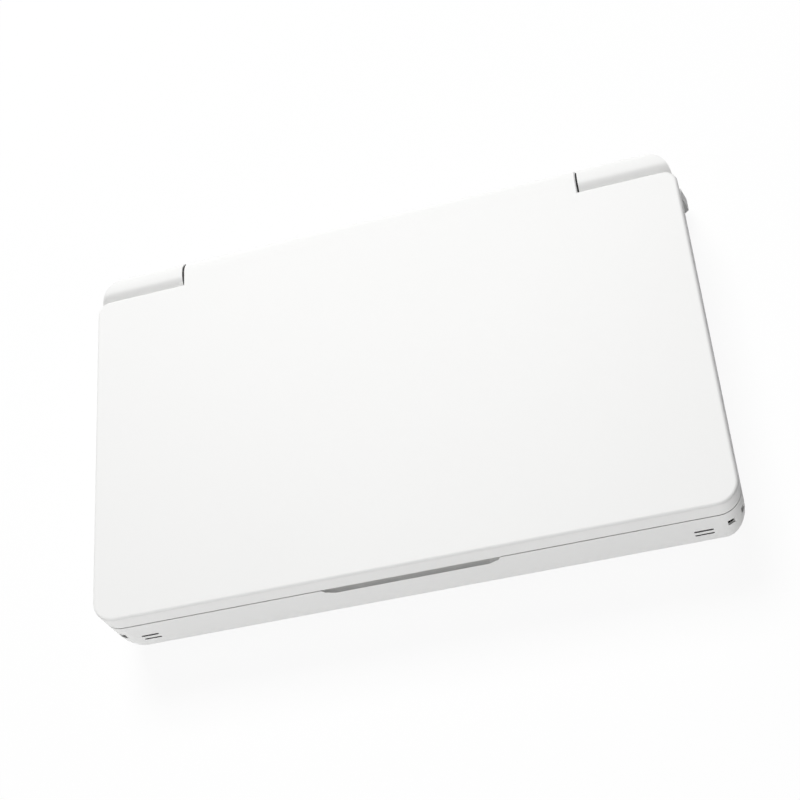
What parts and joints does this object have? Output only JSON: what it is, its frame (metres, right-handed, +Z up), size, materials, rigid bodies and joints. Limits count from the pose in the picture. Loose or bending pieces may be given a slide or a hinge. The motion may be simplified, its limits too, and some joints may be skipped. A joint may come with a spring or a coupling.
{
  "type": "handheld computer",
  "caption": "Clamshell handheld gaming computer, shut: flat lid over a deep rounded base, hinge barrel, shoulder buttons and triggers at the rear corners.",
  "frame": {"origin": "middle of the bounding box's underside, on the surface it stands on", "axes": "+X to the object's right, +Y from the front edge to the hinge, +Z up"},
  "size_m": [0.168, 0.1086, 0.026],
  "materials": {
    "lid_paint": "satin light grey coating",
    "base_paint": "satin light grey coating",
    "dark_plastic": "fine matt black",
    "grey_plastic": "matt mid grey",
    "key_plastic": "matt key caps",
    "button_plastic": "smooth buttons",
    "cover_glass": "black printed cover glass",
    "display": "unlit panel",
    "rubber": "black rubber",
    "steel": "bare steel",
    "aluminium": "bare aluminium",
    "copper": "bare copper",
    "board": "solder mask",
    "cell_wrap": "black wrap round lithium cells"
  },
  "bodies": {
    "base": {"base_shell": "base_paint", "bottom_cover": "base_paint", "hinge_bracket_left": "steel", "hinge_bracket_right": "steel", "rubber_feet": "rubber", "cover_screws": "steel", "rear_grille": "dark_plastic", "keyboard_frame": "base_paint", "keyboard_plate": "aluminium", "stick_module_left": "dark_plastic", "stick_module_right": "dark_plastic", "button_boards": "board", "mainboard": "board", "battery": "cell_wrap", "solid_state_drive": "board", "fan_housing": "dark_plastic", "heat_pipe": "copper", "fin_stack": "aluminium", "speaker_left": "dark_plastic", "speaker_right": "dark_plastic", "usb_c_ports": "steel", "usb_a_port": "steel", "audio_jack": "dark_plastic", "trigger_pins": "steel"},
    "lid": {"lid_cover": "lid_paint", "hinge_cover": "lid_paint", "screen_frame": "dark_plastic", "display_glass": "cover_glass", "display_panel": "display", "lid_bumpers": "rubber", "hinge_leaf_left": "steel", "hinge_leaf_right": "steel"},
    "shoulder_button_left": {"shoulder_button_left": "base_paint"},
    "shoulder_button_right": {"shoulder_button_right": "base_paint"},
    "trigger_left": {"trigger_left": "grey_plastic"},
    "trigger_right": {"trigger_right": "grey_plastic"},
    "stick_ring_left": {"stick_ring_left": "grey_plastic"},
    "stick_ring_right": {"stick_ring_right": "grey_plastic"},
    "stick_ball_left": {"stick_ball_left": "dark_plastic"},
    "stick_ball_right": {"stick_ball_right": "dark_plastic"},
    "stick_cap_left": {"stick_cap_left": "rubber"},
    "stick_cap_right": {"stick_cap_right": "rubber"},
    "cross_pad_seat": {"cross_pad_seat": "dark_plastic"},
    "cross_pad": {"cross_pad": "button_plastic"},
    "face_button_right": {"face_button_right": "button_plastic"},
    "face_button_lower": {"face_button_lower": "button_plastic"},
    "face_button_left": {"face_button_left": "button_plastic"},
    "face_button_upper": {"face_button_upper": "button_plastic"},
    "select_button": {"select_button": "button_plastic"},
    "start_button": {"start_button": "button_plastic"},
    "power_button": {"power_button": "button_plastic"},
    "touchpad": {"touchpad": "grey_plastic"},
    "number_keys": {"number_keys": "key_plastic"},
    "upper_letter_keys": {"upper_letter_keys": "key_plastic"},
    "home_letter_keys": {"home_letter_keys": "key_plastic"},
    "lower_letter_keys": {"lower_letter_keys": "key_plastic"},
    "space_bar_keys": {"space_bar_keys": "key_plastic"},
    "back_button_left": {"back_button_left": "dark_plastic"},
    "back_button_right": {"back_button_right": "dark_plastic"},
    "fan_rotor": {"fan_rotor": "dark_plastic"}
  },
  "joints": [
    {"name": "lid_hinge", "type": "hinge", "parent": "base", "child": "lid", "pos_m": [0, 0.04835, 0.02], "axis": [-1, 0, 0], "range_deg": [0, 180]},
    {"name": "shoulder_press_left", "type": "slide", "parent": "base", "child": "shoulder_button_left", "axis": [0, 0, -1], "range_m": [0, 0.00035], "stiffness_N_per_m": 900},
    {"name": "trigger_pull_left", "type": "hinge", "parent": "base", "child": "trigger_left", "pos_m": [-0.073, 0.0475, 0.0094], "axis": [-1, 0, 0], "range_deg": [0, 8], "stiffness_Nm_per_rad": 0.02},
    {"name": "stick_tilt_x_left", "type": "hinge", "parent": "base", "child": "stick_ring_left", "pos_m": [-0.068, 0.021, 0.011], "axis": [1, 0, 0], "range_deg": [-14, 14], "stiffness_Nm_per_rad": 0.03},
    {"name": "stick_tilt_y_left", "type": "hinge", "parent": "stick_ring_left", "child": "stick_ball_left", "pos_m": [-0.068, 0.021, 0.011], "axis": [0, 1, 0], "range_deg": [-14, 14], "stiffness_Nm_per_rad": 0.03},
    {"name": "stick_press_left", "type": "slide", "parent": "stick_ball_left", "child": "stick_cap_left", "axis": [0, 0, -1], "range_m": [0, 0.0004], "stiffness_N_per_m": 900},
    {"name": "back_button_press_left", "type": "slide", "parent": "base", "child": "back_button_left", "axis": [0, 0, 1], "range_m": [0, 0.0005], "stiffness_N_per_m": 600},
    {"name": "shoulder_press_right", "type": "slide", "parent": "base", "child": "shoulder_button_right", "axis": [0, 0, -1], "range_m": [0, 0.00035], "stiffness_N_per_m": 900},
    {"name": "trigger_pull_right", "type": "hinge", "parent": "base", "child": "trigger_right", "pos_m": [0.073, 0.0475, 0.0094], "axis": [-1, 0, 0], "range_deg": [0, 8], "stiffness_Nm_per_rad": 0.02},
    {"name": "stick_tilt_x_right", "type": "hinge", "parent": "base", "child": "stick_ring_right", "pos_m": [0.068, 0.021, 0.011], "axis": [1, 0, 0], "range_deg": [-14, 14], "stiffness_Nm_per_rad": 0.03},
    {"name": "stick_tilt_y_right", "type": "hinge", "parent": "stick_ring_right", "child": "stick_ball_right", "pos_m": [0.068, 0.021, 0.011], "axis": [0, 1, 0], "range_deg": [-14, 14], "stiffness_Nm_per_rad": 0.03},
    {"name": "stick_press_right", "type": "slide", "parent": "stick_ball_right", "child": "stick_cap_right", "axis": [0, 0, -1], "range_m": [0, 0.0004], "stiffness_N_per_m": 900},
    {"name": "back_button_press_right", "type": "slide", "parent": "base", "child": "back_button_right", "axis": [0, 0, 1], "range_m": [0, 0.0005], "stiffness_N_per_m": 600},
    {"name": "cross_pad_tilt_x", "type": "hinge", "parent": "base", "child": "cross_pad_seat", "pos_m": [-0.046, 0.022, 0.016], "axis": [1, 0, 0], "range_deg": [-4, 4], "stiffness_Nm_per_rad": 0.05},
    {"name": "cross_pad_tilt_y", "type": "hinge", "parent": "cross_pad_seat", "child": "cross_pad", "pos_m": [-0.046, 0.022, 0.016], "axis": [0, 1, 0], "range_deg": [-4, 4], "stiffness_Nm_per_rad": 0.05},
    {"name": "face_press_right", "type": "slide", "parent": "base", "child": "face_button_right", "axis": [0, 0, -1], "range_m": [0, 0.0007], "stiffness_N_per_m": 400},
    {"name": "face_press_lower", "type": "slide", "parent": "base", "child": "face_button_lower", "axis": [0, 0, -1], "range_m": [0, 0.0007], "stiffness_N_per_m": 400},
    {"name": "face_press_left", "type": "slide", "parent": "base", "child": "face_button_left", "axis": [0, 0, -1], "range_m": [0, 0.0007], "stiffness_N_per_m": 400},
    {"name": "face_press_upper", "type": "slide", "parent": "base", "child": "face_button_upper", "axis": [0, 0, -1], "range_m": [0, 0.0007], "stiffness_N_per_m": 400},
    {"name": "select_press", "type": "slide", "parent": "base", "child": "select_button", "axis": [0, 0, -1], "range_m": [0, 0.0005], "stiffness_N_per_m": 400},
    {"name": "start_press", "type": "slide", "parent": "base", "child": "start_button", "axis": [0, 0, -1], "range_m": [0, 0.0005], "stiffness_N_per_m": 400},
    {"name": "power_press", "type": "slide", "parent": "base", "child": "power_button", "axis": [0, 0, -1], "range_m": [0, 0.0005], "stiffness_N_per_m": 400},
    {"name": "touchpad_press", "type": "slide", "parent": "base", "child": "touchpad", "axis": [0, 0, -1], "range_m": [0, 0.0003], "stiffness_N_per_m": 900},
    {"name": "number_keys_press", "type": "slide", "parent": "base", "child": "number_keys", "axis": [0, 0, -1], "range_m": [0, 0.0008], "stiffness_N_per_m": 400},
    {"name": "upper_letter_keys_press", "type": "slide", "parent": "base", "child": "upper_letter_keys", "axis": [0, 0, -1], "range_m": [0, 0.0008], "stiffness_N_per_m": 400},
    {"name": "home_letter_keys_press", "type": "slide", "parent": "base", "child": "home_letter_keys", "axis": [0, 0, -1], "range_m": [0, 0.0008], "stiffness_N_per_m": 400},
    {"name": "lower_letter_keys_press", "type": "slide", "parent": "base", "child": "lower_letter_keys", "axis": [0, 0, -1], "range_m": [0, 0.0008], "stiffness_N_per_m": 400},
    {"name": "space_bar_keys_press", "type": "slide", "parent": "base", "child": "space_bar_keys", "axis": [0, 0, -1], "range_m": [0, 0.0008], "stiffness_N_per_m": 400},
    {"name": "fan_spin", "type": "hinge", "parent": "base", "child": "fan_rotor", "pos_m": [0.026, 0.02, 0.006], "axis": [0, 0, 1], "continuous": true}
  ]
}
